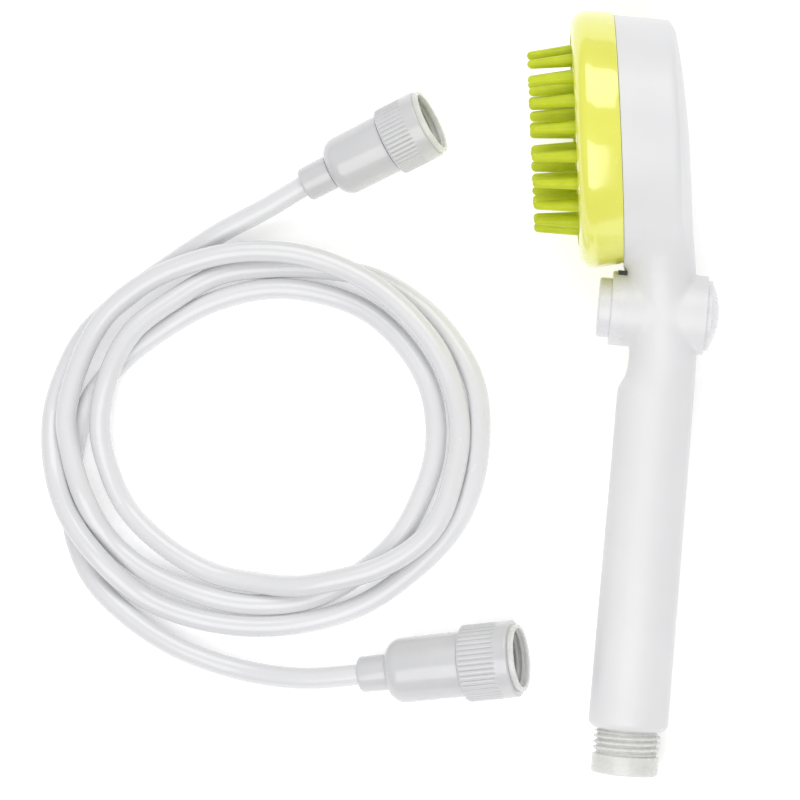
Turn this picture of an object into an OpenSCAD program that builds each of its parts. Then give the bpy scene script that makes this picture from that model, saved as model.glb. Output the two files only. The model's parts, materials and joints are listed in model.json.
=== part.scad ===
/* [Handle] */
// Length of the handle from its lower end to the valve axis
valve_height = 130.8; // [128:0.2:134]
// Radius of the handle at its lower end
handle_end_r = 12.5; // [12.2:0.1:13]
// Radius of the handle just below the valve
handle_top_r = 12.0; // [11.8:0.1:12.3]

/* [Head] */
// Distance of the head's centre from the handle's lower end
head_height = 183.7; // [182:0.1:186]
// Distance of the head's front plane in front of the handle axis
head_forward = 18.2; // [17:0.1:19]
// Angle by which the head's face looks down, in degrees
head_lean = 7.1; // [5:0.1:9]
// Radius of the head shell at its front rim
shell_r = 38.4; // [37.6:0.1:39]
// Greatest radius of the coloured trim ring
ring_r = 40.2; // [39.8:0.1:41]
// Thickness of the trim ring, front to back
ring_depth = 13.3; // [13:0.1:15]

/* [Brush] */
// Length of a bristle in front of the pad
bristle_l = 14.5; // [12:0.5:16]
// Radius of a bristle at its root
bristle_root_r = 2.0; // [1.6:0.1:2.2]
// Radius of a bristle at its tip
bristle_tip_r = 1.4; // [1:0.1:1.6]
// Angle by which the outer bristles lean towards the middle, in degrees
bristle_lean = 4; // [0:1:6]

/* [Valve] */
// Travel of the push-through valve
valve_travel = 5; // [3:0.5:5]
// Radius of the front push button
front_button_r = 9.3; // [9:0.1:9.3]
// Radius of the rear push button
rear_button_r = 11.0; // [10.6:0.1:11]

/* [Thread] */
// Outer radius of the half-inch pipe thread
thread_r = 10.478; // [10.478:0.001:10.478]
// Bore radius of the half-inch nuts, over the thread crests
nut_bore_r = 9.32; // [9.32:0.01:9.32]

/* [Hose] */
// Outer radius of the hose
hose_r = 3.4; // [3.3:0.1:3.4]

/* [Hidden] */
$fn = 96;
fit = 0.07;                      // radial clearance of a running fit
inlet_l = 14;                    // length of the threaded inlet below the handle
shell_depth = 17.8;              // depth of the head shell's straight side
shell_back_r = 36.0;             // radius of that side at its rear edge
dome_h = 2.8;                    // height of the domed back
dome_r = (shell_back_r^2 + dome_h^2) / (2 * dome_h);
pocket_r = 34.60;                // bore that takes the brush head's spigot
spigot_r = pocket_r - fit;
ring_gap = 0.5;                  // thickness of the gasket behind the trim ring
ring_crown = 8.0;                // distance of the ring's widest line from the front plane
pad_front = 13.0;                // front of the brush pad
valve_bore_r = 9.6;
sleeve_bore_r = 6.50;
spool_r = sleeve_bore_r - fit;
collar_bore_r = front_button_r + fit;
boss_bore_r = rear_button_r + fit;
boss_r = 12.3;
boss_face = 13.4;                // rear face of the valve boss
front_face = -20.2;              // front face of the push button
front_button_l = 8.2;
sleeve_half = -(front_face + front_button_l + valve_travel + 0.5);
collar_face = -16.3;             // front face of the collar

// The handset lies on its side: the head on the ring and the shell's rear edge,
// the other end on the rim of the thread.
rest_pitch = 7.17;
rest_roll = 10.95;
rest_x = 16.55;
rest_y = -102.71;
rest_z = 12.16;

// Rows of bristles and of nozzles on the face: [row radius, count, first angle]
bristle_rows = [[28, 20, 6], [20, 12, 21], [12, 6, 12]];
nozzle_rows = [[24.2, 16, 3], [16, 10, 9], [8, 6, 0]];

// Hose connectors: [sleeve length, sleeve radius, body length, body radius, nut length, nut radius]
hand_size = [9.5, 5.8, 25, 10.4, 18.6, 12.2];
tap_size = [10, 5.6, 21, 9.7, 15.8, 11.2];
shoulder_r = 5.2;                // rounding of a connector body's shoulder
nut_gap = 0.3;                   // gap between a nut and the connector body
nut_wall = 2.5;                  // rear wall of a nut
neck_r = 8.0;                    // neck that the nut turns on
liner_r = 10.6;                  // threaded liner that stands out of the nut's end

// Mouths of the connectors' sleeves on the table, and the way each connector points
hand_place = [-71, -94];
hand_heading = 11;
tap_place = [-107, 61];
tap_heading = 30;

// A connector lies on the shoulder of its body and on the rear edge of its nut
function body_end(c) = c[0] + c[2];
function lie_tilt(c) = asin((c[5] - c[3]) / (c[2] + nut_gap - shoulder_r));
function mouth_height(c) = c[3] / cos(lie_tilt(c)) - (c[0] + shoulder_r) * sin(lie_tilt(c));
function in_sleeve(place, heading, c) = [
    place[0] + 7 * cos(heading), place[1] + 7 * sin(heading),
    mouth_height(c) + 7 * sin(lie_tilt(c))];
function mouth(place, c) = [place[0], place[1], mouth_height(c)];

// The hose's centre line, from the tap connector round its loops to the hand connector
hose_route = concat([in_sleeve(tap_place, tap_heading, tap_size), mouth(tap_place, tap_size)], [
    [-119, 53, 6.5], [-134, 44, 4.5], [-150, 32, 3.5], [-164, 20, 3.5],
    [-175, 8, 3.5], [-181, -6, 3.5], [-183, -21, 5], [-179, -38, 10], [-172, -53, 10.5],
    [-160, -66, 9.5], [-146, -76, 4.5], [-129, -81, 3.5], [-110, -82, 3.5], [-92, -79, 3.5],
    [-75, -72, 3.5], [-61, -61, 3.5], [-49, -47, 3.5], [-43, -32, 3.5], [-42, -15, 3.5],
    [-45, 1, 3.5], [-53, 14, 3.5], [-65, 25, 3.5], [-81, 33, 3.5], [-98, 35, 3.5],
    [-116, 34, 4], [-133, 30, 5.5], [-147, 20, 8], [-158, 9, 10.5], [-164, -5, 11],
    [-166, -21, 9], [-163, -34, 6], [-155, -48, 3.5], [-141, -59, 3.5], [-125, -66, 3.5],
    [-109, -68, 5.5], [-95, -68, 8.5], [-82, -65, 10.5], [-69, -60, 10.5], [-58, -52, 9.5],
    [-51, -42, 9], [-48, -27, 8], [-48, -13, 7], [-52, 1, 8], [-59, 13, 9.5],
    [-72, 25, 10.5], [-86, 33, 10.5], [-104, 38, 10.5], [-122, 38, 10.5], [-138, 34, 10.5],
    [-154, 26, 10.5], [-167, 14, 10.5], [-174, -1, 10.5], [-177, -19, 10.5], [-174, -32, 11],
    [-168, -46, 10.5], [-160, -58, 5], [-147, -67, 3.5], [-129, -73, 3.5], [-111, -75, 3.5],
    [-93, -72, 3.5], [-79, -64, 3.5], [-66, -51, 3.5], [-59, -36, 3.5], [-56, -20, 3.5],
    [-59, -3, 3.5], [-68, 11, 3.5], [-82, 22, 3.5], [-99, 27, 3.5], [-117, 27, 3.5],
    [-135, 21, 3.5], [-150, 11, 3.5], [-163, -1, 3.5], [-172, -15, 3.5], [-175, -33, 3.5],
    [-173, -53, 3.5], [-165, -70, 3.5], [-151, -82, 3.5], [-133, -91, 3.5], [-112, -96, 3.5],
    [-91, -97, 6]],
    [mouth(hand_place, hand_size), in_sleeve(hand_place, hand_heading, hand_size)]);
hose_sides = 10;

white = [0.95, 0.95, 0.95];
natural = [0.90, 0.91, 0.88];
lime = [0.88, 0.91, 0.30];
green = [0.70, 0.80, 0.16];
rubber = [0.20, 0.21, 0.20];
steel = [0.75, 0.76, 0.77];

// ---- Frames ----

module handset() {
    translate([rest_x, rest_y, rest_z])
        rotate([rest_pitch, 0, 0])
            rotate([0, rest_roll, 0])
                children();
}

// +Z of the children looks out of the head's face, and +X of the children runs up the face
module face() {
    translate([-head_forward, head_height, 0])
        rotate([0, 0, head_lean])
            rotate([90, 0, -90])
                rotate([0, 0, 180])
                    children();
}

// +Z of the children runs up the handle axis
module along_handle() {
    rotate([-90, 0, 0]) children();
}

// +Z of the children runs along the valve axis to the rear
module along_valve() {
    translate([0, valve_height, 0]) rotate([0, 90, 0]) children();
}

module tube(length, outer, inner) {
    difference() {
        cylinder(h = length, r = outer);
        translate([0, 0, -1]) cylinder(h = length + 2, r = inner);
    }
}

module o_ring(middle, thickness) {
    rotate_extrude() translate([middle, 0]) circle(r = thickness / 2, $fn = 24);
}

module on_circle(r, count, first = 0) {
    for (i = [0 : count - 1])
        rotate([0, 0, first + i * 360 / count]) translate([r, 0, 0]) children();
}

// ---- Handset shell ----

module head_solid() {
    translate([0, 0, -shell_depth]) {
        cylinder(h = shell_depth, r1 = shell_back_r, r2 = shell_r);
        intersection() {
            translate([0, 0, dome_r - dome_h]) sphere(r = dome_r);
            translate([0, 0, -dome_h - 1]) cylinder(h = dome_h + 1, r = shell_back_r);
        }
    }
}

module neck_solid() {
    // Lower part of the head, drawn in to the handle
    hull() {
        along_handle() translate([1.2, 0, 118]) cylinder(h = 1, r = 10.4, $fn = 32);
        face() translate([-22, 0, -21]) cylinder(h = 20.5, r1 = 14, r2 = 15.5, $fn = 32);
    }
    hull() {
        along_handle() translate([-1.2, 0, 142]) cylinder(h = 1, r = 11.0, $fn = 32);
        face() translate([-16, 0, -21.4]) cylinder(h = 4, r1 = 13, r2 = 19, $fn = 32);
    }
}

module handle_solid() {
    along_handle() {
        translate([0, 0, 2.5]) cylinder(h = 101.5, r1 = handle_end_r, r2 = handle_top_r);
        cylinder(h = 2.5, r1 = handle_end_r - 1.2, r2 = handle_end_r);
        translate([0, 0, 104]) cylinder(h = 5, r1 = handle_top_r, r2 = 10.9);
        translate([0.5, 0, 104]) cylinder(h = 34, r = 11.2);
    }
}

module boss_solid() {
    along_valve() {
        cylinder(h = boss_face, r = boss_r);
        translate([0, 0, -12]) cylinder(h = 12, r = 11.6);
    }
}

module housing_shell() {
    color(white) handset() difference() {
        union() {
            face() head_solid();
            neck_solid();
            handle_solid();
            boss_solid();
        }
        // head pocket
        face() translate([0, 0, -14.5]) cylinder(h = 20, r = pocket_r);
        // handle bore, tube seat and the way up into the head
        along_handle() {
            translate([0, 0, -1]) cylinder(h = 113, r = 9.5);
            translate([0, 0, 111]) cylinder(h = 12, r = 6.05);
            translate([0, 0, 138]) cylinder(h = 24, r = 4.5);
        }
        face() translate([-25.5, 0, -18]) cylinder(h = 6, r = 3);
        // valve bores, front to rear
        along_valve() {
            translate([0, 0, -14]) cylinder(h = 24, r = valve_bore_r);
            translate([0, 0, -18]) cylinder(h = 9, r = 10.7);
            translate([0, 0, 7.8]) cylinder(h = 8, r = boss_bore_r);
            // seat of the collar
            translate([0, 0, -18]) cylinder(h = 6, r = 11.8);
        }
    }
}

// ---- Waterway ----

module inlet_adapter() {
    pitch = 1.814;
    crest = 0.5;
    root = 9.3;
    color(natural) handset() along_handle() difference() {
        union() {
            // smooth land at the tip, then the threads, then the neck
            translate([0, 0, -inlet_l]) cylinder(h = 6, r = thread_r);
            translate([0, 0, -8]) cylinder(h = 8, r = root);
            for (i = [0 : 3]) {
                rotate_extrude()
                    translate([0, -6.9 + i * pitch])
                        polygon([[root - 1, -0.8], [root, -0.8], [thread_r, -crest / 2],
                                 [thread_r, crest / 2], [root, 0.8], [root - 1, 0.8]]);
            }
            cylinder(h = 14, r = 9.4);
        }
        translate([0, 0, -inlet_l - 1]) cylinder(h = 30, r = 4.6);
        translate([0, 0, 8]) cylinder(h = 8, r = 6.05);
        translate([0, 0, -inlet_l - 1]) cylinder(h = 4, r = 7.6);
        // seal groove
        translate([0, 0, 3.9]) difference() {
            cylinder(h = 2.2, r = 12);
            translate([0, 0, -1]) cylinder(h = 5, r = 7.5);
        }
    }
}

module inlet_seal() {
    color(rubber) handset() along_handle() translate([0, 0, 5]) o_ring(8.48, 1.9);
}

module inlet_filter() {
    color(steel) handset() along_handle() translate([0, 0, -12.5]) difference() {
        cylinder(h = 1.4, r = 7.5);
        translate([0, 0, 0.5]) cylinder(h = 2, r = 6.6);
        translate([0, 0, -1]) {
            cylinder(h = 3, r = 0.7, $fn = 24);
            for (row = [[2.5, 6], [4.9, 12]])
                on_circle(row[0], row[1]) cylinder(h = 3, r = 0.7, $fn = 24);
        }
    }
}

module water_tube() {
    color(natural) handset() along_handle()
        translate([0, 0, 8]) tube(112.8, 6.0, 4.4);
}

module riser_tube() {
    color(natural) handset() along_handle()
        translate([0, 0, 141]) tube(8, 4.45, 3.2);
}

// ---- Valve ----

module valve_sleeve() {
    color(natural) handset() along_valve() difference() {
        translate([0, 0, -sleeve_half]) cylinder(h = 2 * sleeve_half, r = 9.5);
        translate([0, 0, -12]) cylinder(h = 24, r = sleeve_bore_r);
        // water ports, up and down the handle
        rotate([90, 0, 0]) translate([0, 0, -12]) cylinder(h = 24, r = 2.6);
        // seal grooves
        for (z = [-4.7, 4.7])
            translate([0, 0, z - 0.75]) tube(1.5, 10, 8.3);
    }
}

module sleeve_seals() {
    color(rubber) handset() along_valve()
        for (z = [-4.7, 4.7]) translate([0, 0, z]) o_ring(8.9, 1.2);
}

module front_collar() {
    color(white) handset() along_valve() difference() {
        union() {
            translate([0, 0, collar_face]) cylinder(h = 4.3, r = 11.6);
            translate([0, 0, -12]) cylinder(h = 2.9, r = 10.6);
        }
        translate([0, 0, -18]) cylinder(h = 12, r = collar_bore_r);
    }
}

module front_button() {
    color(white) handset() along_valve() difference() {
        union() {
            translate([0, 0, front_face])
                cylinder(h = 0.8, r1 = front_button_r - 0.8, r2 = front_button_r);
            translate([0, 0, front_face + 0.8]) cylinder(h = front_button_l - 0.8, r = front_button_r);
        }
        // hollow behind the face, with a boss that takes the spool
        translate([0, 0, front_face + 2.4]) tube(8, 7.6, 4.6);
        translate([0, 0, front_face + 3]) cylinder(h = 12, r = 3.0);
    }
}

module valve_spool() {
    color(natural) handset() along_valve() difference() {
        union() {
            translate([0, 0, -17.2]) cylinder(h = 33 - 1.0, r = 3.0);
            for (z = [-6.2, -0.9, 3.3]) translate([0, 0, z]) cylinder(h = 2.9, r = spool_r);
            translate([0, 0, 6.2]) cylinder(h = 2.4, r = 4.6);
        }
        for (z = [-6.2, -0.9, 3.3]) translate([0, 0, z + 0.75]) tube(1.4, 8, 5.2);
        translate([0, 0, 9]) cylinder(h = 8, r = 1.3);
    }
}

module spool_seals() {
    color(rubber) handset() along_valve()
        for (z = [-6.2, -0.9, 3.3]) translate([0, 0, z + 1.45]) o_ring(5.8, 1.2);
}

module rear_button() {
    color(white) handset() along_valve() difference() {
        translate([0, 0, 8.6]) cylinder(h = 5.9, r = rear_button_r);
        translate([0, 0, 8]) cylinder(h = 8, r = 3.0);
        // seat for the screw head and the cap
        translate([0, 0, 12.4]) cylinder(h = 4, r = 6.5);
    }
}

module button_screw() {
    color(steel) handset() along_valve() difference() {
        union() {
            translate([0, 0, 9.4]) cylinder(h = 5.4, r = 1.3);
            translate([0, 0, 14.8]) cylinder(h = 1.2, r = 2.6);
        }
        translate([-0.3, -3, 15.4]) cube([0.6, 6, 1]);
    }
}

module rear_cap() {
    cap_h = 3.1;
    cap_r = (rear_button_r^2 + cap_h^2) / (2 * cap_h);
    color(white) handset() along_valve() difference() {
        union() {
            translate([0, 0, 14.5]) intersection() {
                translate([0, 0, cap_h - cap_r]) sphere(r = cap_r);
                cylinder(h = cap_h + 1, r = rear_button_r);
            }
            translate([0, 0, 12.4]) cylinder(h = 2.5, r = 6.4);
        }
        translate([0, 0, 12]) cylinder(h = 4.4, r = 3.4);
    }
}

// ---- Head ----

module diffuser_plate() {
    color(natural) handset() face() translate([0, 0, -11]) difference() {
        union() {
            cylinder(h = 1.8, r = 34.4);
            translate([0, 0, -3.5]) tube(3.5, 34.4, 32.4);
        }
        translate([0, 0, -1]) for (row = [[9, 6], [18, 12], [27, 18]])
            on_circle(row[0], row[1]) cylinder(h = 4, r = 1.2, $fn = 24);
    }
}

module face_gasket() {
    color(rubber) handset() face() tube(ring_gap - 0.1, 37.6, 35.2);
}

module hub_ring() {
    color(white) handset() face() difference() {
        union() {
            translate([0, 0, -6]) tube(13.4, spigot_r, 32.4);
            translate([0, 0, 5]) tube(2.4, spigot_r, 26);
            // bayonet lugs inside the spigot
            for (i = [0 : 2]) rotate([0, 0, i * 120 + 20]) translate([29.5, -4, -6]) cube([4, 8, 2.2]);
        }
        on_circle(29, 4, 45) translate([0, 0, 3.4]) cylinder(h = 6, r = 1.4, $fn = 32);
    }
}

module spray_plate() {
    color(lime) handset() face() difference() {
        union() {
            translate([0, 0, 7.4]) cylinder(h = 2.2, r = 34.3);
            for (row = nozzle_rows)
                on_circle(row[0], row[1], row[2]) translate([0, 0, 9.4])
                    cylinder(h = 4.4, r1 = 1.5, r2 = 1.1, $fn = 24);
        }
        for (row = nozzle_rows)
            on_circle(row[0], row[1], row[2]) translate([0, 0, 6.4]) cylinder(h = 8, r = 0.45, $fn = 16);
        on_circle(29, 4, 45) translate([0, 0, 6.4]) cylinder(h = 2.8, r = 1.4, $fn = 32);
    }
}

module plate_screws() {
    color(steel) handset() face() on_circle(29, 4, 45) difference() {
        union() {
            translate([0, 0, 3.5]) cylinder(h = 1.5, r = 2.5, $fn = 32);
            translate([0, 0, 5]) cylinder(h = 4, r = 1.4, $fn = 32);
        }
        translate([-0.3, -3, 3.4]) cube([0.6, 6, 0.7]);
    }
}

// Leans towards the middle of the pad, and is cut off flat where it meets the pad. Its
// taper runs smoothly into the round tip.
module bristle(lean) {
    tip_z = bristle_l - bristle_tip_r;
    taper = acos(bristle_tip_r / norm([bristle_root_r, tip_z])) - atan2(tip_z, bristle_root_r);
    foot = 0.5;
    difference() {
        rotate([0, -lean, 0]) {
            translate([0, 0, -foot])
                cylinder(h = tip_z + foot + bristle_tip_r * sin(taper),
                         r1 = bristle_root_r + foot * tan(taper),
                         r2 = bristle_tip_r * cos(taper), $fn = 24);
            translate([0, 0, tip_z]) sphere(r = bristle_tip_r, $fn = 24);
        }
        translate([-5, -5, -5]) cube([10, 10, 5]);
    }
}

module bristles() {
    color(green) handset() face() translate([0, 0, pad_front])
        for (row = bristle_rows)
            on_circle(row[0], row[1], row[2])
                bristle(bristle_lean * row[0] / bristle_rows[0][0]);
}

module brush_pad() {
    color(green) handset() face() difference() {
        union() {
            translate([0, 0, 9.7]) cylinder(h = 2.0, r = 34.3);
            translate([0, 0, 11.4]) cylinder(h = pad_front - 11.4, r = 32.9);
        }
        // clearance round each nozzle
        for (row = nozzle_rows)
            on_circle(row[0], row[1], row[2]) translate([0, 0, 8.4]) cylinder(h = 6, r = 1.65, $fn = 24);
    }
}

module trim_ring() {
    front = ring_gap + ring_depth;
    inner_r = 34.62;
    mouth_r = 33;
    // widest at the crown, then round to the mouth
    edge = [for (a = [0 : 10 : 90])
        [mouth_r + (ring_r - mouth_r) * cos(a), ring_crown + (front - ring_crown) * sin(a)]];
    color(lime) handset() face() rotate_extrude()
        polygon(concat([[inner_r, ring_gap], [38.9, ring_gap], [39.8, 4]], edge,
                       [[mouth_r, 11.8], [inner_r, 11.8]]));
}

// ---- Hose ----

function unit(v) = v / norm(v);
function way(path, i) = unit(path[min(i + 1, len(path) - 1)] - path[max(i - 1, 0)]);
function ring_at(path, i, r, sides) =
    let (t = way(path, i), side = unit(cross(t, [0, 0, 1])), over = cross(side, t))
    [for (k = [0 : sides - 1])
        path[i] + r * (cos(360 * k / sides) * side + sin(360 * k / sides) * over)];

module swept_tube(path, r, sides) {
    n = len(path);
    points = [for (i = [0 : n - 1]) each ring_at(path, i, r, sides)];
    sides_faces = [for (i = [0 : n - 2], k = [0 : sides - 1])
        let (a = i * sides + k, b = i * sides + (k + 1) % sides)
        each [[a, b, b + sides], [a, b + sides, a + sides]]];
    first_cap = [for (k = [0 : sides - 1]) sides - 1 - k];
    last_cap = [for (k = [0 : sides - 1]) (n - 1) * sides + k];
    polyhedron(points = points, faces = concat([first_cap], sides_faces, [last_cap]));
}

module hose_tube() {
    color(white) swept_tube(hose_route, hose_r, hose_sides);
}

// ---- Connectors ----

// +Z of the children runs along the connector, from the sleeve's mouth to the nut
module connector(place, heading, c) {
    translate([place[0], place[1], mouth_height(c)])
        rotate([0, 0, heading])
            rotate([0, 90 - lie_tilt(c), 0])
                children();
}

module sleeve(c) {
    difference() {
        cylinder(h = c[0], r1 = c[1] - 0.3, r2 = c[1]);
        translate([0, 0, -1]) cylinder(h = c[0] + 2, r = hose_r + 0.05);
    }
}

module tail(c) {
    neck_l = nut_gap + nut_wall + 0.3;
    shoulder = [for (a = [0 : 10 : 90])
        [c[3] - shoulder_r * (1 - sin(a)), shoulder_r * (1 - cos(a))]];
    translate([0, 0, c[0]]) difference() {
        union() {
            rotate_extrude() polygon(concat([[0, 0]], shoulder, [[c[3], c[2]], [0, c[2]]]));
            translate([0, 0, c[2]]) cylinder(h = neck_l, r = neck_r);
            translate([0, 0, c[2] + neck_l]) cylinder(h = 2.4, r = 9.0);
        }
        translate([0, 0, -1]) cylinder(h = 50, r = 2.6);
    }
}

module washer(c) {
    translate([0, 0, body_end(c) + nut_gap + nut_wall + 0.3 + 2.4]) tube(2, 9.0, 4.5);
}

module nut(c) {
    liner = 1.8;
    lip = 4.2;
    ribs = 44;
    relief_l = 5.0;
    knurl_l = c[4] - nut_gap - lip - liner;
    translate([0, 0, body_end(c) + nut_gap]) difference() {
        union() {
            linear_extrude(height = knurl_l) union() {
                circle(r = c[5] - 0.5);
                for (i = [0 : ribs - 1]) rotate(i * 360 / ribs)
                    translate([c[5] - 1, -0.45]) square([1, 0.9]);
            }
            translate([0, 0, knurl_l]) cylinder(h = lip, r = c[5]);
            translate([0, 0, knurl_l + lip]) cylinder(h = liner, r = liner_r);
        }
        translate([0, 0, -1]) cylinder(h = 30, r = neck_r + fit);
        // room for the tail's flange and the washer, then the threaded part
        translate([0, 0, nut_wall]) cylinder(h = relief_l, r = 9.7);
        translate([0, 0, nut_wall + relief_l - 0.1]) cylinder(h = 30, r = nut_bore_r);
    }
}

module tap_sleeve() {
    color(white) connector(tap_place, tap_heading, tap_size) sleeve(tap_size);
}

module tap_tail() {
    color(white) connector(tap_place, tap_heading, tap_size) tail(tap_size);
}

module tap_washer() {
    color(rubber) connector(tap_place, tap_heading, tap_size) washer(tap_size);
}

module tap_nut() {
    color(white) connector(tap_place, tap_heading, tap_size) nut(tap_size);
}

module hand_sleeve() {
    color(white) connector(hand_place, hand_heading, hand_size) sleeve(hand_size);
}

module hand_tail() {
    color(white) connector(hand_place, hand_heading, hand_size) tail(hand_size);
}

module hand_washer() {
    color(rubber) connector(hand_place, hand_heading, hand_size) washer(hand_size);
}

module hand_nut() {
    color(white) connector(hand_place, hand_heading, hand_size) nut(hand_size);
}

housing_shell();
water_tube();
riser_tube();
inlet_adapter();
inlet_seal();
inlet_filter();
valve_sleeve();
sleeve_seals();
front_collar();
front_button();
valve_spool();
spool_seals();
rear_button();
rear_cap();
button_screw();
diffuser_plate();
face_gasket();
hub_ring();
spray_plate();
plate_screws();
brush_pad();
bristles();
trim_ring();
hose_tube();
tap_sleeve();
tap_tail();
tap_washer();
tap_nut();
hand_sleeve();
hand_tail();
hand_washer();
hand_nut();
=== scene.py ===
"""Looks of the handheld bath sprayer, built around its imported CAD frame.

Shapes are drawn in millimetres in the frame of the sub-assembly that they belong to
(handle, head face, valve or hose connector) and set in place by that frame's matrix.
"""
import json
import math

import bmesh
import bpy
import numpy as np
from mathutils import Matrix, Vector


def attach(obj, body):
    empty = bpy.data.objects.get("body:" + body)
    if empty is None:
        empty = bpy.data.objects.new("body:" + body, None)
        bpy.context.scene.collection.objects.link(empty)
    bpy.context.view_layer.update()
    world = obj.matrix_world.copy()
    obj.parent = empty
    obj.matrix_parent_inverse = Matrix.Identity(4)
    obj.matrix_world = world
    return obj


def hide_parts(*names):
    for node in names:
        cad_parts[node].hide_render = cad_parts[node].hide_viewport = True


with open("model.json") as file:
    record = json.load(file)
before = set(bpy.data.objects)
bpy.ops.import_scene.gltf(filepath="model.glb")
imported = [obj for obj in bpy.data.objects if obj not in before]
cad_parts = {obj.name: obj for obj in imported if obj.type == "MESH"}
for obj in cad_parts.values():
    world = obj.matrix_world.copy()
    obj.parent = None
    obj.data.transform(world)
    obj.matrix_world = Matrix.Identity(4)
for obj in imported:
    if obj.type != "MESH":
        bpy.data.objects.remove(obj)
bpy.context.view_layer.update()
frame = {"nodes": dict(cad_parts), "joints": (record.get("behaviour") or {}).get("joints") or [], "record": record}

MM = 0.001
scene = bpy.context.scene
record = frame["record"]
joints = {j["name"]: j for j in frame["joints"]}
mounts = {m["name"]: m for m in record["mounts"]}


# ---- Camera ----

def make_camera():
    """Looks down on the table, a little from the right and from below."""
    target = Vector((-65.6, -6.75, 20)) * MM
    distance = 1.5
    lean_right, lean_down, roll = (math.radians(a) for a in (12.26, 5.73, 6.23))
    back = Vector((math.tan(lean_right), -math.tan(lean_down), 1)).normalized()
    level_right = Vector((0, 1, 0)).cross(back).normalized()
    level_up = back.cross(level_right)
    right = level_right * math.cos(roll) + level_up * math.sin(roll)
    up = back.cross(right)
    data = bpy.data.cameras.new("camera")
    data.sensor_width = 36
    data.lens = 213.1
    data.clip_end = 20
    camera = bpy.data.objects.new("camera", data)
    scene.collection.objects.link(camera)
    turn = Matrix((right, up, back)).transposed().to_4x4()
    camera.matrix_world = Matrix.Translation(target + back * distance) @ turn
    scene.camera = camera


make_camera()


# ---- Frames of the sub-assemblies ----

def frame_at(origin, x, z):
    """Millimetres to row-frame metres, for axes x and z at origin."""
    x, z = Vector(x).normalized(), Vector(z).normalized()
    turn = Matrix((x, z.cross(x), z)).transposed().to_4x4()
    return Matrix.Translation(Vector(origin)) @ turn @ Matrix.Scale(MM, 4)


def turned(x, y, z):
    """The rotation that takes the three axes to x, y and z."""
    return Matrix((Vector(x), Vector(y), Vector(z))).transposed().to_4x4()


thread_middle = 11
valve_height = 130.8
head_centre = (-18.2, 183.7)
head_lean = math.radians(7.1)

rear = Vector(joints["valve_push"]["axis"]).normalized()
up_handle = -Vector(mounts["inlet_thread"]["axis"]).normalized()
inlet_at = Vector(mounts["inlet_thread"]["pos_m"])
# Handset: X to the rear, Y up the handle, Z to its near side
HANDSET = frame_at(inlet_at + up_handle * thread_middle * MM, rear, rear.cross(up_handle))
# Handle: Z up the handle
HANDLE = HANDSET @ turned((1, 0, 0), (0, 0, -1), (0, 1, 0))
# Valve: Z to the rear, Y up the handle
VALVE = HANDSET @ Matrix.Translation((0, valve_height, 0)) @ turned((0, 0, -1), (0, 1, 0), (1, 0, 0))
# Face: Z out of the head, X up its face
face_out = Vector(joints["brush_head_twist"]["axis"])
FACE = frame_at(joints["brush_head_twist"]["pos_m"], face_out.cross(rear.cross(up_handle)), face_out)


class Connector:
    """A hose end: Z runs from the mouth of its sleeve to the nut."""

    nut_gap = 0.3
    nut_wall = 2.5
    bore_start = 7.8        # from the end of the body to the free part of the nut's bore

    def __init__(self, mount, sleeve_l, sleeve_r, body_l, body_r, nut_l, nut_r):
        self.sleeve_l, self.sleeve_r = sleeve_l, sleeve_r
        self.body_r = body_r
        self.nut_l, self.nut_r = nut_l, nut_r
        self.body_end = sleeve_l + body_l
        bore_middle = self.body_end + (self.bore_start + nut_l) / 2
        along = Vector(mounts[mount]["axis"]).normalized()
        side = Vector((0, 0, 1)).cross(along).normalized()
        self.mouth = Vector(mounts[mount]["pos_m"]) - along * bore_middle * MM
        self.along = along
        self.frame = frame_at(self.mouth, side.cross(along), along)


TAP = Connector("tap_thread", 10, 5.6, 21, 9.7, 15.8, 11.2)
HAND = Connector("hand_thread", 9.5, 5.8, 25, 10.4, 18.6, 12.2)


# ---- Materials ----

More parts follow.
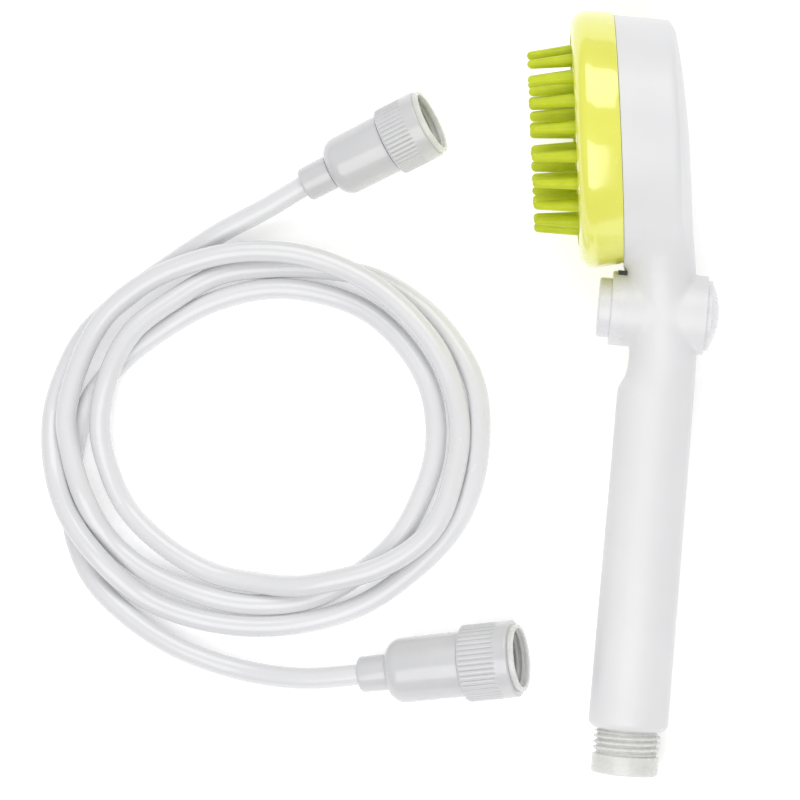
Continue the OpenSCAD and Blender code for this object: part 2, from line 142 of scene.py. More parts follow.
class Finish:
    """A Principled material whose colour, roughness and bump come from procedural noise."""

    def __init__(self, name, **sockets):
        self.material = bpy.data.materials.new(name)
        self.material.use_nodes = True
        self.tree = self.material.node_tree
        self.shader = self.tree.nodes["Principled BSDF"]
        self.place = self.tree.nodes.new("ShaderNodeTexCoord").outputs["Object"]
        self.height = None
        for socket, value in sockets.items():
            self.shader.inputs[socket.replace("_", " ")].default_value = value

    def noise(self, size_mm, detail=3.0, stretch=(1, 1, 1)):
        """Noise whose features are about size_mm across."""
        mapping = self.tree.nodes.new("ShaderNodeMapping")
        mapping.inputs["Scale"].default_value = [s / (size_mm * MM) for s in stretch]
        self.tree.links.new(self.place, mapping.inputs["Vector"])
        node = self.tree.nodes.new("ShaderNodeTexNoise")
        node.inputs["Scale"].default_value = 1.0
        node.inputs["Detail"].default_value = detail
        self.tree.links.new(mapping.outputs["Vector"], node.inputs["Vector"])
        return node.outputs["Fac"]

    def spread(self, value, low, high):
        """Value, which is about 0.5, spread from low to high."""
        node = self.tree.nodes.new("ShaderNodeMapRange")
        node.inputs["From Min"].default_value = 0.3
        node.inputs["From Max"].default_value = 0.7
        node.inputs["To Min"].default_value = low
        node.inputs["To Max"].default_value = high
        self.tree.links.new(value, node.inputs["Value"])
        return node.outputs["Result"]

    def colour(self, value, first, second):
        """Base colour that goes from first to second with the value."""
        node = self.tree.nodes.new("ShaderNodeMix")
        node.data_type = "RGBA"
        node.inputs["A"].default_value = (*first, 1)
        node.inputs["B"].default_value = (*second, 1)
        self.tree.links.new(self.spread(value, 0, 1), node.inputs["Factor"])
        self.tree.links.new(node.outputs["Result"], self.shader.inputs["Base Color"])

    def roughness(self, value, low, high):
        """Roughness that goes from low to high with the value."""
        self.tree.links.new(self.spread(value, low, high), self.shader.inputs["Roughness"])

    def bump(self, value, height_mm):
        """Relief of about height_mm, added to any relief that is there already."""
        node = self.tree.nodes.new("ShaderNodeBump")
        node.inputs["Strength"].default_value = 1.0
        node.inputs["Distance"].default_value = height_mm * MM
        self.tree.links.new(value, node.inputs["Height"])
        if self.height:
            self.tree.links.new(self.height, node.inputs["Normal"])
        self.height = node.outputs["Normal"]
        self.tree.links.new(self.height, self.shader.inputs["Normal"])


def shell_finish():
    """White ABS with a fine satin grain and faint flow marks."""
    f = Finish("white ABS shell", IOR=1.45)
    f.colour(f.noise(22, 2), (0.79, 0.79, 0.80), (0.82, 0.82, 0.83))
    f.roughness(f.noise(5, 4), 0.30, 0.42)
    f.bump(f.noise(0.7, 2), 0.006)
    f.bump(f.noise(14, 1), 0.05)
    return f.material


def button_finish():
    """White plastic of the buttons, a little glossier than the shell."""
    f = Finish("white button", IOR=1.5)
    f.colour(f.noise(9, 2), (0.79, 0.79, 0.805), (0.83, 0.83, 0.84))
    f.roughness(f.noise(3, 4), 0.24, 0.34)
    f.bump(f.noise(6, 1), 0.015)
    return f.material


def lime_finish():
    """Lime plastic under a hard, bright gloss."""
    f = Finish("lime gloss ring", IOR=1.5, Coat_Weight=0.65, Coat_Roughness=0.09, Coat_IOR=2.0)
    f.colour(f.noise(16, 2), (0.84, 0.845, 0.10), (0.88, 0.885, 0.12))
    f.roughness(f.noise(4, 4), 0.20, 0.28)
    f.bump(f.noise(12, 1), 0.02)
    return f.material


def silicone_finish():
    """Green silicone, soft and a little translucent, with a velvety bloom."""
    f = Finish("green silicone", IOR=1.43, Subsurface_Weight=0.4, Subsurface_Scale=0.003,
               Sheen_Weight=0.12, Sheen_Roughness=0.4)
    f.shader.inputs["Subsurface Radius"].default_value = (1.0, 1.0, 0.2)
    f.colour(f.noise(4, 3), (0.52, 0.60, 0.008), (0.60, 0.67, 0.012))
    f.roughness(f.noise(1.5, 4), 0.36, 0.50)
    f.bump(f.noise(0.35, 2), 0.006)
    return f.material


def natural_finish():
    """Milky unfilled plastic, slightly see-through at its edges."""
    f = Finish("natural plastic", IOR=1.5, Subsurface_Weight=0.5, Subsurface_Scale=0.004)
    f.shader.inputs["Subsurface Radius"].default_value = (1, 1, 1)
    f.colour(f.noise(5, 3), (0.70, 0.705, 0.68), (0.76, 0.765, 0.74))
    f.roughness(f.noise(2, 4), 0.20, 0.34)
    f.bump(f.noise(0.5, 2), 0.005)
    return f.material


def fitting_finish():
    """Off-white moulded fitting inside the valve and the head."""
    f = Finish("moulded fitting", IOR=1.48)
    f.colour(f.noise(6, 3), (0.66, 0.67, 0.65), (0.74, 0.75, 0.74))
    f.roughness(f.noise(2, 4), 0.34, 0.48)
    f.bump(f.noise(0.5, 2), 0.006)
    return f.material


def hose_finish():
    """Glossy white PVC, very slightly uneven."""
    f = Finish("white PVC hose", IOR=1.52, Coat_Weight=0.25, Coat_Roughness=0.1)
    f.colour(f.noise(30, 2), (0.77, 0.77, 0.785), (0.80, 0.80, 0.815))
    f.roughness(f.noise(4, 4), 0.18, 0.28)
    f.bump(f.noise(6, 2), 0.03)
    return f.material


def connector_finish():
    """Glossy white ABS of the hose ends."""
    f = Finish("white connector", IOR=1.52, Coat_Weight=0.3, Coat_Roughness=0.08)
    f.colour(f.noise(9, 2), (0.64, 0.64, 0.655), (0.67, 0.67, 0.68))
    f.roughness(f.noise(3, 4), 0.16, 0.26)
    f.bump(f.noise(5, 2), 0.02)
    return f.material


def rubber_finish():
    """Matt black rubber."""
    f = Finish("seal rubber", IOR=1.5, Sheen_Weight=0.1, Sheen_Roughness=0.5)
    f.colour(f.noise(1.5, 4), (0.030, 0.031, 0.030), (0.055, 0.056, 0.054))
    f.roughness(f.noise(1, 4), 0.50, 0.68)
    f.bump(f.noise(0.25, 3), 0.008)
    return f.material


def steel_finish():
    """Stainless steel, brushed along one way."""
    f = Finish("stainless steel", Metallic=1.0)
    f.colour(f.noise(2, 3), (0.60, 0.60, 0.61), (0.72, 0.72, 0.73))
    f.roughness(f.noise(0.4, 4, (1, 8, 1)), 0.22, 0.38)
    f.bump(f.noise(0.2, 2, (1, 10, 1)), 0.003)
    return f.material


FINISHES = {
    "white_shell": shell_finish(),
    "white_button": button_finish(),
    "natural_plastic": natural_finish(),
    "moulded_fitting": fitting_finish(),
    "seal_rubber": rubber_finish(),
    "stainless_steel": steel_finish(),
    "lime_ring": lime_finish(),
    "green_silicone": silicone_finish(),
    "white_hose": hose_finish(),
    "white_connector": connector_finish(),
}


def finish_cad_nodes():
    """Every carried-over CAD node takes the finish of its own material slot."""
    for part in record["subparts"]:
        node = frame["nodes"][part["node"]]
        node.data.materials.clear()
        node.data.materials.append(FINISHES[part["material_slot"]])


finish_cad_nodes()


# ---- Mesh helpers ----

def mesh_of(name, points, faces, place, sharp=32):
    """A smooth-shaded mesh from points in millimetres, with its corners kept sharp."""
    mesh = bpy.data.meshes.new(name)
    mesh.from_pydata([tuple(p) for p in points], [], [tuple(f) for f in faces])
    mesh.transform(place)
    work = bmesh.new()
    work.from_mesh(mesh)
    bmesh.ops.recalc_face_normals(work, faces=work.faces)
    work.to_mesh(mesh)
    work.free()
    shade(mesh, sharp)
    return mesh


def shade(mesh, sharp):
    """Smooth shading, broken at edges of more than sharp degrees."""
    mesh.polygons.foreach_set("use_smooth", [True] * len(mesh.polygons))
    mesh.set_sharp_from_angle(angle=math.radians(sharp))
    mesh.update()


def add_piece(name, mesh, body, slot, *nodes):
    """Puts the mesh in the scene as a piece of body, in place of CAD nodes."""
    piece = bpy.data.objects.new(name + "_look", mesh)
    scene.collection.objects.link(piece)
    mesh.materials.append(FINISHES[slot])
    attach(piece, body)
    if nodes:
        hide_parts(*nodes)
    return piece


def rounded(corners, steps=6):
    """Points of an outline whose corners are (radius, height, fillet)."""
    points = []
    count = len(corners)
    for i, (r, z, fillet) in enumerate(corners):
        here = Vector((r, z))
        before = Vector(corners[i - 1][:2]) - here
        after = Vector(corners[(i + 1) % count][:2]) - here
        if fillet <= 0 or r <= 0:
            points.append((r, z))
            continue
        half = before.angle(after) / 2
        reach = fillet / math.tan(half)
        start = here + before.normalized() * reach
        centre = here + (before.normalized() + after.normalized()).normalized() * fillet / math.sin(half)
        arm = start - centre
        end_arm = here + after.normalized() * reach - centre
        sweep = arm.angle_signed(end_arm)
        for k in range(steps + 1):
            turn = Matrix.Rotation(-sweep * k / steps, 2)
            points.append(tuple(centre + turn @ arm))
    return points


def dense(points, step, low, high):
    """Adds points to an outline's stretches between two heights, step apart."""
    result = []
    count = len(points)
    for i in range(count):
        a, b = Vector(points[i]), Vector(points[(i + 1) % count])
        result.append(tuple(a))
        if min(a.y, b.y) >= low - 1e-6 and max(a.y, b.y) <= high + 1e-6:
            parts = math.ceil((b - a).length / step)
            result += [tuple(a.lerp(b, k / parts)) for k in range(1, parts)]
    return result


def lathe(outline, sides=96, shape=None):
    """A closed outline of (radius, height) points turned round Z. shape(radius, height, angle)
    gives the radius where it changes round the axis."""
    outline = np.array(outline)
    count = len(outline)
    angle = np.arange(sides) * 2 * math.pi / sides
    radius = np.repeat(outline[None, :, 0], sides, 0)
    height = np.repeat(outline[None, :, 1], sides, 0)
    if shape:
        radius = shape(radius, height, angle[:, None])
    on_axis = outline[:, 0] < 1e-6
    index = np.zeros((sides, count), int)
    points = []
    for j in range(count):
        if on_axis[j]:
            index[:, j] = len(points)
            points.append((0, 0, outline[j, 1]))
        else:
            index[:, j] = len(points) + np.arange(sides)
            points += list(zip(radius[:, j] * np.cos(angle), radius[:, j] * np.sin(angle), height[:, j]))
    faces = []
    for j in range(count):
        k = (j + 1) % count
        if on_axis[j] and on_axis[k]:
            continue
        for i in range(sides):
            n = (i + 1) % sides
            face = [index[i, j], index[n, j], index[n, k], index[i, k]]
            faces.append([int(v) for v in dict.fromkeys(face)])
    return points, faces


def turned_piece(name, corners, place, body, slot):
    """A piece turned from its (radius, height, fillet) corners, in place of the node of its name."""
    points, faces = lathe(rounded(corners))
    return add_piece(name, mesh_of(name, points, faces, place), body, slot, name)


def joined(parts):
    """Joins several (points, faces) meshes in one."""
    points, faces = [], []
    for some_points, some_faces in parts:
        faces += [[v + len(points) for v in f] for f in some_faces]
        points += list(some_points)
    return points, faces


def moved(mesh, matrix):
    """A (points, faces) mesh moved by the matrix."""
    points, faces = mesh
    return [matrix @ Vector(p) for p in points], faces


# ---- Hose ----

HOSE_R = 3.4

# The hose's centre line on the table, in millimetres, as in the CAD part
HOSE_ROUTE = [
    (-119, 53, 6.5), (-134, 44, 4.5), (-150, 32, 3.5), (-164, 20, 3.5),
    (-175, 8, 3.5), (-181, -6, 3.5), (-183, -21, 5), (-179, -38, 10), (-172, -53, 10.5),
    (-160, -66, 9.5), (-146, -76, 4.5), (-129, -81, 3.5), (-110, -82, 3.5), (-92, -79, 3.5),
    (-75, -72, 3.5), (-61, -61, 3.5), (-49, -47, 3.5), (-43, -32, 3.5), (-42, -15, 3.5),
    (-45, 1, 3.5), (-53, 14, 3.5), (-65, 25, 3.5), (-81, 33, 3.5), (-98, 35, 3.5),
    (-116, 34, 4), (-133, 30, 5.5), (-147, 20, 8), (-158, 9, 10.5), (-164, -5, 11),
    (-166, -21, 9), (-163, -34, 6), (-155, -48, 3.5), (-141, -59, 3.5), (-125, -66, 3.5),
    (-109, -68, 5.5), (-95, -68, 8.5), (-82, -65, 10.5), (-69, -60, 10.5), (-58, -52, 9.5),
    (-51, -42, 9), (-48, -27, 8), (-48, -13, 7), (-52, 1, 8), (-59, 13, 9.5),
    (-72, 25, 10.5), (-86, 33, 10.5), (-104, 38, 10.5), (-122, 38, 10.5), (-138, 34, 10.5),
    (-154, 26, 10.5), (-167, 14, 10.5), (-174, -1, 10.5), (-177, -19, 10.5), (-174, -32, 11),
    (-168, -46, 10.5), (-160, -58, 5), (-147, -67, 3.5), (-129, -73, 3.5), (-111, -75, 3.5),
    (-93, -72, 3.5), (-79, -64, 3.5), (-66, -51, 3.5), (-59, -36, 3.5), (-56, -20, 3.5),
    (-59, -3, 3.5), (-68, 11, 3.5), (-82, 22, 3.5), (-99, 27, 3.5), (-117, 27, 3.5),
    (-135, 21, 3.5), (-150, 11, 3.5), (-163, -1, 3.5), (-172, -15, 3.5), (-175, -33, 3.5),
    (-173, -53, 3.5), (-165, -70, 3.5), (-151, -82, 3.5), (-133, -91, 3.5), (-112, -96, 3.5),
    (-91, -97, 6)]


def smooth_line(knots, step):
    """A Catmull-Rom curve through the knots, with points about step apart."""
    line = []
    for i in range(len(knots) - 1):
        a, b, c, d = (knots[min(max(i + k, 0), len(knots) - 1)] for k in (-1, 0, 1, 2))
        parts = max(2, round((c - b).length / step))
        for k in range(parts):
            t = k / parts
            line.append(0.5 * (2 * b + (c - a) * t + (2 * a - 5 * b + 4 * c - d) * t * t
                               + (3 * b - a - 3 * c + d) * t ** 3))
    line.append(knots[-1])
    return line


def swept_tube(line, radius, sides):
    """A tube round the line, without twist, closed at both ends."""
    points, faces = [], []
    side = Vector((0, 0, 1)).cross(line[1] - line[0]).normalized()
    for i, centre in enumerate(line):
        along = (line[min(i + 1, len(line) - 1)] - line[max(i - 1, 0)]).normalized()
        side = (side - along * side.dot(along)).normalized()
        over = along.cross(side)
        for k in range(sides):
            turn = 2 * math.pi * k / sides
            points.append(centre + (side * math.cos(turn) + over * math.sin(turn)) * radius)
    for i in range(len(line) - 1):
        for k in range(sides):
            n = (k + 1) % sides
            faces.append((i * sides + k, i * sides + n, (i + 1) * sides + n, (i + 1) * sides + k))
    faces.append(tuple(range(sides)))
    faces.append(tuple(range((len(line) - 1) * sides, len(line) * sides)))
    return points, faces


def make_hose():
    """The hose piece and its centre line, which ends inside both sleeves."""
    in_sleeve = 7 * MM
    knots = [TAP.mouth + TAP.along * in_sleeve, TAP.mouth]
    knots += [Vector(p) * MM for p in HOSE_ROUTE]
    knots += [HAND.mouth, HAND.mouth + HAND.along * in_sleeve]
    line = smooth_line(knots, 2.5 * MM)
    lowest = (HOSE_R + 0.02) * MM
    line = [Vector((p.x, p.y, max(p.z, lowest))) for p in line]
    points, faces = swept_tube(line, HOSE_R * MM, 32)
    mesh = mesh_of("hose", points, faces, Matrix.Identity(4), 60)
    return add_piece("hose", mesh, "hose", "white_hose", "hose_tube"), line


hose, hose_line = make_hose()


# ---- Hose connectors ----

NUT_RIBS = 44
THREAD_PITCH = 1.814


def helix(height, angle):
    """A thread's crest wave, from 0 in its root to 1 on its crest."""
    wave = np.abs(((height - THREAD_PITCH * angle / (2 * math.pi)) / THREAD_PITCH) % 1.0 - 0.5) * 2
    return np.clip((wave - 0.2) / 0.6, 0, 1)


def fade(value, low, high, run):
    """1 between low and high, falling to 0 over run at each end."""
    return np.clip((value - low) / run, 0, 1) * np.clip((high - value) / run, 0, 1)


def make_sleeve(name, c):
    """The slightly tapered sleeve that the hose enters."""
    bore = HOSE_R + 0.08
    corners = [(bore, 0, 0.25), (c.sleeve_r - 0.1, 0, 1.1), (c.sleeve_r, c.sleeve_l, 0),
               (bore, c.sleeve_l, 0)]
    return turned_piece(name, corners, c.frame, "hose", "white_connector")


def make_tail(name, c):
    """The barrel that the nut turns on: a round shoulder, then slightly wider to the nut."""
    bore, shoulder, neck_r, flange_r, flange_l = 2.6, 5.2, 8, 9, 2.4
    base, end = c.sleeve_l, c.body_end
    neck_end = end + (c.nut_gap + c.nut_wall + 0.3)
    corners = [(bore, base, 0), (c.body_r - 0.12, base, shoulder), (c.body_r, end, 0.25), (neck_r, end, 0),
               (neck_r, neck_end, 0), (flange_r, neck_end, 0.3), (flange_r, neck_end + flange_l, 0.3),
               (bore, neck_end + flange_l, 0)]
    points, faces = lathe(rounded(corners, 10), 128)
    return add_piece(name, mesh_of(name, points, faces, c.frame), "hose", "white_connector", name)


def make_nut(name, c, body):
    """A ribbed nut with a plain lip, and its threaded liner standing out of the end."""
    lip, liner, liner_r, bore, collar_r = 4.2, 1.8, 10.6, 9.34, 8.07
    rib_depth, root_depth = 0.62, 0.62
    start = c.body_end + c.nut_gap
    end = c.body_end + c.nut_l - liner
    ribs_end = end - lip
    corners = [(collar_r, start, 0.2), (c.nut_r, start, 1.0), (c.nut_r, end, 0.45), (liner_r - 0.1, end, 0),
               (liner_r - 0.1, start + c.nut_wall, 0), (collar_r, start + c.nut_wall, 0)]
    outline = dense(rounded(corners), 0.45, start + 0.9, end - 0.4)

    def ribs(radius, height, angle):
        across = 2 * ((NUT_RIBS * angle / (2 * math.pi)) % 1.0) - 1
        groove = rib_depth * (1 - np.sqrt(1 - 0.94 * across ** 2))
        outside = radius > c.nut_r - 1.2
        return radius - np.where(outside, groove * fade(height, start + 0.15, ribs_end, 0.7), 0)

    points, faces = lathe(outline, NUT_RIBS * 12, ribs)
    outer = add_piece(name, mesh_of(name, points, faces, c.frame, 40), body, "white_connector", name)

    liner_corners = [(bore, start + c.nut_wall, 0), (liner_r - 0.12, start + c.nut_wall, 0),
                     (liner_r - 0.12, end + 0.02, 0), (liner_r, end + 0.02, 0),
                     (liner_r, end + liner, 0.35), (bore, end + liner, 0.3)]
    outline = dense(rounded(liner_corners), 0.15, start + c.nut_wall, end + liner - 0.3)

    def female(radius, height, angle):
        threaded = fade(height, start + c.nut_wall + 0.3, end + 0.9, 0.8)
        root = root_depth * (1 - helix(height, angle)) * threaded
        return radius + np.where(radius < bore + 0.05, root, 0)

    points, faces = lathe(outline, 96, female)
    mesh = mesh_of(name + "_liner", points, faces, c.frame, 50)
    inner = add_piece(name + "_liner", mesh, body, "natural_plastic", name)
    return [outer, inner]


def make_connectors():
    """Both hose ends, as the pieces that ride on the hose."""
    pieces = []
    for c, end, body in ((TAP, "tap", "tap_end_nut"), (HAND, "hand", "hand_end_nut")):
        pieces.append(make_sleeve(end + "_sleeve", c))
        pieces.append(make_tail(end + "_tail", c))
        pieces += make_nut(end + "_nut", c, body)
        pieces.append(frame["nodes"][end + "_washer"])
    return pieces


connector_pieces = make_connectors()


# ---- Handset shell ----

GRID = 0.8          # grid that the shell's skin is drawn on
SHELL_R = 38.4      # at the front rim
SHELL_BACK_R = 36.0
SHELL_DEPTH = 17.8
DOME_H = 2.8
BOSS_R = 12.25
FRONT_BOSS_R = 11.6
BOSS_FACE = 13.4
POCKET_R = 34.6
NECK_TOP = 216


def smooth_max(a, b, k):
    """The larger of a and b, blended where they are within k of each other."""
    h = np.clip(0.5 + 0.5 * (a - b) / k, 0, 1)
    return a * h + b * (1 - h) + k * h * (1 - h)


def smooth_min(a, b, k):
    """The smaller of a and b, blended in the same way."""
    return -smooth_max(-a, -b, k)


def head_field(x, y, z):
    """Distance to the head: a shallow cone from rim to back, closed by a low dome."""
    c, s = math.cos(head_lean), math.sin(head_lean)
    dx, dy = x - head_centre[0], y - head_centre[1]
    out = -c * dx - s * dy
    up = -s * dx + c * dy
    radius = np.sqrt(up ** 2 + z ** 2)
    slope = (SHELL_R - SHELL_BACK_R) / SHELL_DEPTH
    side = (radius - SHELL_R - out * slope) / math.hypot(1, slope)
    dome_r = (SHELL_BACK_R ** 2 + DOME_H ** 2) / (2 * DOME_H)
    dome = np.sqrt(radius ** 2 + (out + SHELL_DEPTH + DOME_H - dome_r) ** 2) - dome_r
    rear_edge_blend, past_rim = 1.8, 2
    return np.maximum(smooth_max(side, dome, rear_edge_blend), out - past_rim)


# Handle and neck, from the lower end up: height, front and rear line, half width
HANDLE_LINES = np.array([
    (0, -12.5, 12.5, 12.5), (100, -12.05, 12.0, 12.0), (104.5, -12.0, 11.95, 12.0),
    (106.4, -11.8, 11.9, 12.0), (108, -11.0, 11.9, 12.0), (110, -10.0, 11.85, 12.0),
    (112.5, -9.5, 11.8, 12.0), (116, -9.3, 11.75, 12.05), (122, -9.5, 11.5, 12.2),
    (130.8, -10.5, 10.9, 12.6), (138, -11.8, 10.1, 13.2), (143, -12.7, 9.5, 14.2),
    (148, -13.4, 8.8, 16.2), (156.7, -12, 7.4, 20.5), (165.1, -10, 6.0, 24.5),
    (173.2, -8, 4.7, 27), (181.5, -6, 3.3, 28), (189, -5, 1.9, 27), (196, -5.5, 0.5, 24),
    (203.5, -6.5, -1.0, 20), (211, -8, -2.8, 15), (218, -10, -4.8, 9)])


def handle_field(x, y, z):
    """Distance to the handle and neck, as a lofted oval with a rounded lower end."""
    levels = HANDLE_LINES[:, 0]
    front, back, half = (np.interp(y, levels, HANDLE_LINES[:, k]) for k in (1, 2, 3))
    middle, reach = (front + back) / 2, (back - front) / 2
    oval = np.sqrt(((x - middle) / reach) ** 2 + (z / half) ** 2)
    slope = np.sqrt(((x - middle) / reach ** 2) ** 2 + (z / half ** 2) ** 2) / np.maximum(oval, 1e-6)
    side = (oval - 1) / np.maximum(slope, 1 / np.maximum(reach, half))
    edge = 2.6
    across, below = side + edge, edge - y
    corner = np.sqrt(np.maximum(across, 0) ** 2 + np.maximum(below, 0) ** 2)
    lower = np.minimum(np.maximum(across, below), 0) + corner - edge
    return np.maximum(lower, y - NECK_TOP)


def boss_field(x, y, z):
    """Distances to the rear and the front half of the valve boss, which runs through the handle."""
    radius = np.sqrt((y - valve_height) ** 2 + z ** 2)
    half_back, half_front = 8, 7
    back = np.maximum(radius - BOSS_R, np.abs(x - half_back) - half_back)
    front = np.maximum(radius - FRONT_BOSS_R, np.abs(x + half_front) - half_front)
    return back, front


def shell_field(x, y, z):
    """Distance to the whole shell before its pocket and bores are cut."""
    neck_blend, boss_blend = 4.5, 0.7
    body = smooth_min(head_field(x, y, z), handle_field(x, y, z), neck_blend)
    back, front = boss_field(x, y, z)
    return smooth_min(smooth_min(body, back, boss_blend), front, boss_blend)


def skin_of(field, low, high, step):
    """The surface where the field is zero: one point in each grid cell that it crosses,
    joined across the cell edges that it cuts, then moved on to the surface."""
    axes = [np.arange(a, b + step, step) for a, b in zip(low, high)]
    grid = np.meshgrid(*axes, indexing="ij")
    values = field(*grid)
    inside = values < 0
    total = np.zeros([n - 1 for n in inside.shape] + [3])
    hits = np.zeros(total.shape[:3])
    crossings = []
    for axis in range(3):
        first = [slice(None)] * 3
        second = [slice(None)] * 3
        first[axis], second[axis] = slice(None, -1), slice(1, None)
        a, b = values[tuple(first)], values[tuple(second)]
        crossed = inside[tuple(first)] != inside[tuple(second)]
        at = np.argwhere(crossed)
        part = a[crossed] / (a[crossed] - b[crossed])
        where = at.astype(float)
        where[:, axis] += part
        others = [k for k in range(3) if k != axis]
        for u in (0, 1):
            for v in (0, 1):
                cell = at.copy()
                cell[:, others[0]] -= u
                cell[:, others[1]] -= v
                good = (cell >= 0).all(1) & (cell < np.array(hits.shape)).all(1)
                key = tuple(cell[good].T)
                np.add.at(total, key, where[good])
                np.add.at(hits, key, 1)
        crossings.append((others, at))
    used = hits > 0
    index = np.full(hits.shape, -1)
    index[used] = np.arange(used.sum())
    points = total[used] / hits[used][:, None] * step + np.array(low)
    faces = []
    for others, at in crossings:
        ring = []
        for u, v in ((0, 0), (1, 0), (1, 1), (0, 1)):
            cell = at.copy()
            cell[:, others[0]] -= u
            cell[:, others[1]] -= v
            ring.append(index[tuple(cell.T)])
        faces += np.array(ring).T.tolist()
    tiny, rounds = 1e-3, 4
    for _ in range(rounds):
        value = field(*points.T)
        slope = np.array([field(*(points + tiny * e).T) - value for e in np.eye(3)]).T / tiny
        points -= slope * (value / np.maximum((slope ** 2).sum(1), 0.05))[:, None]
    return points, faces


def cut(target, tool_mesh):
    """Takes the tool's solid away from the target."""
    tool = bpy.data.objects.new("tool", tool_mesh)
    scene.collection.objects.link(tool)
    modifier = target.modifiers.new("cut", "BOOLEAN")
    modifier.operation = "DIFFERENCE"
    modifier.solver = "EXACT"
    modifier.object = tool
    result = bpy.data.meshes.new_from_object(target.evaluated_get(bpy.context.evaluated_depsgraph_get()))
    target.modifiers.clear()
    target.data = result
    bpy.data.objects.remove(tool)


def make_shell():
    """The shell's skin with its face pocket, its stepped bore and the bore of the valve."""
    points, faces = skin_of(shell_field, (-29, -2, -42), (20, 226, 42), GRID)
    shell = bpy.data.objects.new("shell_skin", mesh_of("shell_skin", points, faces, HANDSET))
    scene.collection.objects.link(shell)
    front_cutter = [(0, -14.5), (POCKET_R, -14.5), (POCKET_R, 0), (42, 0), (42, 12), (0, 12)]
    valve_cutter = [(0, -25), (11.8, -25), (11.8, -12), (10.7, -12), (10.7, -9), (9.6, -9), (9.6, 7.8),
                    (11.07, 7.8), (11.07, BOSS_FACE), (13.5, BOSS_FACE), (13.5, 22), (0, 22)]
    bore_cutter = [(0, -5), (9.5, -5), (9.5, 112), (6.05, 112), (6.05, 123), (4.5, 123), (4.5, 162), (0, 162)]
    for outline, place in ((front_cutter, FACE), (bore_cutter, HANDLE), (valve_cutter, VALVE)):
        cut(shell, mesh_of("tool", *lathe(outline, 160), place))
    mesh = shell.data
    bpy.data.objects.remove(shell)
    shade(mesh, 32)
    mesh.materials.clear()
    piece = add_piece("shell", mesh, "handset", "white_shell", "housing_shell")
    even = piece.modifiers.new("even shading", "WEIGHTED_NORMAL")
    even.keep_sharp = True


make_shell()


# ---- Valve buttons ----

def make_valve():
    """The collar, the button at each end and the domed rear cap."""
    turned_piece("front_collar", [
        (9.37, -16.3, 0.3), (11.6, -16.3, 0.55), (11.6, -12, 0.05), (10.6, -12, 0), (10.6, -9.1, 0),
        (9.37, -9.1, 0)], VALVE, "handset", "white_button")
    turned_piece("front_button", [
        (0, -20.2, 0), (9.3, -20.2, 0.6), (9.3, -12, 0), (7.6, -12, 0), (7.6, -17.8, 0), (4.6, -17.8, 0),
        (4.6, -12, 0), (3, -12, 0), (3, -17.2, 0), (0, -17.2, 0)],
        VALVE, "push_valve", "white_button")
    turned_piece("rear_button", [
        (3, 8.6, 0), (11, 8.6, 0.3), (11, 14.45, 0.05), (6.5, 14.45, 0), (6.5, 12.4, 0), (3, 12.4, 0)],
        VALVE, "push_valve", "white_button")
    cap_h, cap_r, rim, steps = 3.1, 11.0, 14.5, 16
    dome_r = (cap_r ** 2 + cap_h ** 2) / (2 * cap_h)
    widest = math.asin((cap_r - 0.35) / dome_r)
    arc = [widest * k / steps for k in range(1, steps + 1)]
    dome = [(dome_r * math.sin(a), rim + cap_h - dome_r * (1 - math.cos(a)), 0) for a in arc]
    turned_piece("rear_cap", [(0, rim + cap_h, 0)] + dome + [
        (cap_r - 0.05, rim + 0.35, 0), (cap_r, rim + 0.05, 0), (cap_r, rim - 0.05, 0), (6.4, rim - 0.05, 0),
        (6.4, 12.4, 0), (3.4, 12.4, 0), (3.4, 16.4, 0), (0, 16.4, 0)],
        VALVE, "push_valve", "white_button")


def make_dark_block():
    """A small dark block in the black rubber finish, standing out of the top of the front collar."""
    front, back, bottom, top, half_w = -14.8, -12.2, 139, 142.7, 5
    corners = [(x, y, z) for x in (front, back) for y in (bottom, top) for z in (-half_w, half_w)]
    sides = [(0, 1, 3, 2), (4, 6, 7, 5), (0, 4, 5, 1), (2, 3, 7, 6), (0, 2, 6, 4), (1, 5, 7, 3)]
    add_piece("dark_block", mesh_of("dark_block", corners, sides, HANDSET), "handset", "seal_rubber")


make_valve()
make_dark_block()


# ---- Brush head ----

RING_GAP = 0.5
RING_FRONT = 13.8
PAD_FRONT = 13.0


def make_ring():
    """The lime ring: flares from the shell to its crown, then rounds over to the mouth."""
    crown, widest, skirt, mouth, inner = 8.0, 40.05, 39.1, 33.0, 34.62
    skirt_back, skirt_front = 0.14, 0.35
    bow = 0.8
    outline = [(inner, RING_GAP), (37.8, RING_GAP), (37.9, skirt_back), (skirt - 0.2, skirt_back),
               (skirt, skirt_front)]
    for k in range(1, 13):
        outline.append((skirt + (widest - skirt) * (k / 12) ** bow,
                        skirt_front + (crown - skirt_front) * k / 12))
    for k in range(1, 25):
        a = k / 25 * math.pi / 2
        outline.append((mouth + (widest - mouth) * math.cos(a) ** bow,
                        crown + (RING_FRONT - crown) * math.sin(a) ** bow))
    outline += [(mouth, RING_FRONT - 0.1), (mouth, RING_FRONT - 2), (inner, RING_FRONT - 2)]
    points, faces = lathe(outline, 192)
    add_piece("trim_ring", mesh_of("trim_ring", points, faces, FACE), "brush_head", "lime_ring", "trim_ring")


# Rows of bristles and of nozzles on the face: row radius, count, first angle in degrees
BRISTLE_ROWS = ((28, 20, 6), (20, 12, 21), (12, 6, 12))
NOZZLE_ROWS = ((24.2, 16, 3), (16, 10, 9), (8, 6, 0))
BRISTLE_L = 14.5


def places(rows):
    """A matrix for each place on the rows, with the row's radius."""
    for radius, count, first in rows:
        for k in range(count):
            turn = Matrix.Rotation(math.radians(first + k * 360 / count), 4, "Z")
            yield radius, turn @ Matrix.Translation((radius, 0, 0))


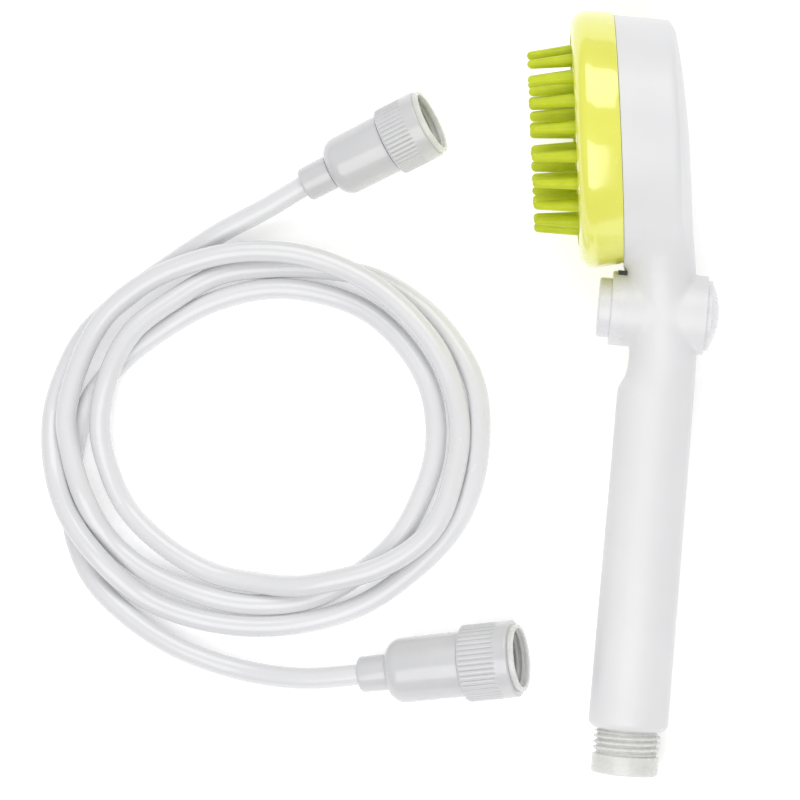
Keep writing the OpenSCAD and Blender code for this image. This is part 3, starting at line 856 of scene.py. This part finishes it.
def bristle(lean):
    """One tapered bristle with a flared root and a round tip, standing on the pad."""
    root, tip, foot = 2.05, 1.4, 0.7
    outline = [(0, -0.2), (root + foot, -0.2)]
    for k in range(7):
        a = k / 6 * math.pi / 2
        outline.append((root + foot * (1 - math.sin(a)), foot * (1 - math.cos(a))))
    for k in range(9):
        a = k / 9 * math.pi / 2
        outline.append((tip * math.cos(a), BRISTLE_L - tip * (1 - math.sin(a))))
    outline.append((0, BRISTLE_L))
    return moved(lathe(outline, 28), Matrix.Rotation(-lean, 4, "Y"))


def make_brush():
    """The pad with its nozzle holes, and its bristles, which lean out more towards the rim."""
    lean = math.radians(4) / BRISTLE_ROWS[0][0]
    stand = Matrix.Translation((0, 0, PAD_FRONT))
    grown = joined([moved(bristle(lean * radius), stand @ place) for radius, place in places(BRISTLE_ROWS)])
    add_piece("bristles", mesh_of("bristles", *grown, FACE), "brush_head", "green_silicone", "bristles")
    flange, disc, back, flange_front = 34.3, 32.9, 9.7, 11.7
    corners = [(0, back, 0), (flange, back, 0), (flange, flange_front, 0.2), (disc, flange_front, 0),
               (disc, PAD_FRONT, 0.5), (0, PAD_FRONT, 0)]
    pad = bpy.data.objects.new("pad", mesh_of("pad", *lathe(rounded(corners), 160), FACE))
    scene.collection.objects.link(pad)
    hole_r, mouth_r, hole_back, hole_front = 1.65, 2.0, 8.4, 14.4
    hole = lathe([(0, hole_back), (hole_r, hole_back), (hole_r, PAD_FRONT - 0.4), (mouth_r, hole_front),
                  (0, hole_front)], 28)
    cut(pad, mesh_of("tool", *joined([moved(hole, p) for _, p in places(NOZZLE_ROWS)]), FACE))
    mesh = pad.data
    bpy.data.objects.remove(pad)
    shade(mesh, 32)
    mesh.materials.clear()
    add_piece("brush_pad", mesh, "brush_head", "green_silicone", "brush_pad")


make_ring()
make_brush()


# ---- Inlet ----

def make_inlet():
    """The threaded inlet: a smooth land at the tip, a helical thread and the neck."""
    land, root = 10.478, 9.3
    corners = [(7.6, -14, 0.3), (land, -14, 0.8), (land, -8.2, 0.3), (root, -7.8, 0), (root, 0, 0),
               (9.4, 0, 0), (9.4, 3.9, 0), (7.5, 3.9, 0), (7.5, 6.1, 0), (9.4, 6.1, 0), (9.4, 14, 0.4),
               (6.05, 14, 0), (6.05, 8, 0), (4.6, 8, 0), (4.6, -11, 0), (7.6, -11, 0)]
    outline = dense(rounded(corners), 0.12, -7.8, 0)

    def thread(radius, height, angle):
        crest = (land - root) * helix(height, angle) * fade(height, -7.7, -0.5, 0.8)
        return np.where((radius > 9) & (height > -8) & (height <= 0), radius + crest, radius)

    points, faces = lathe(outline, 128, thread)
    mesh = mesh_of("inlet_adapter", points, faces, HANDLE, 40)
    add_piece("inlet_adapter", mesh, "handset", "natural_plastic", "inlet_adapter")


make_inlet()


# ---- Floor and light ----

def make_stage():
    """A white table that glows faintly, so that it stays white behind the part."""
    floor_finish = Finish("floor", Roughness=0.9)
    floor_finish.colour(floor_finish.noise(40, 2), (0.92, 0.92, 0.92), (0.93, 0.93, 0.93))
    bpy.ops.mesh.primitive_plane_add(size=8, location=(0, 0, -0.0004))
    floor = bpy.context.object
    floor.name = "floor"
    floor.data.materials.append(floor_finish.material)
    floor_finish.shader.inputs["Emission Color"].default_value = (1, 1, 1, 1)
    floor_finish.shader.inputs["Emission Strength"].default_value = 0.28


def soft_box(name, place, size, power):
    """A rectangular lamp that faces the part."""
    data = bpy.data.lights.new(name, "AREA")
    data.shape = "RECTANGLE"
    data.size, data.size_y = size
    data.energy = power
    light = bpy.data.objects.new(name, data)
    light.location = place
    light.rotation_euler = (-Vector(place)).to_track_quat("-Z", "Y").to_euler()
    scene.collection.objects.link(light)


def make_light():
    """An even white surround and two large boxes, which give the ring its two highlights."""
    world = bpy.data.worlds.new("studio")
    world.use_nodes = True
    world.node_tree.nodes["Background"].inputs["Color"].default_value = (1, 1, 1, 1)
    world.node_tree.nodes["Background"].inputs["Strength"].default_value = 0.395
    scene.world = world
    soft_box("upper box", (0.0, 1.15, 1.3), (1.5, 1.1), 12.6)
    soft_box("lower box", (0.0, -0.78, 1.3), (1.5, 1.15), 12.6)
    scene.view_settings.view_transform = "Standard"


make_stage()
make_light()
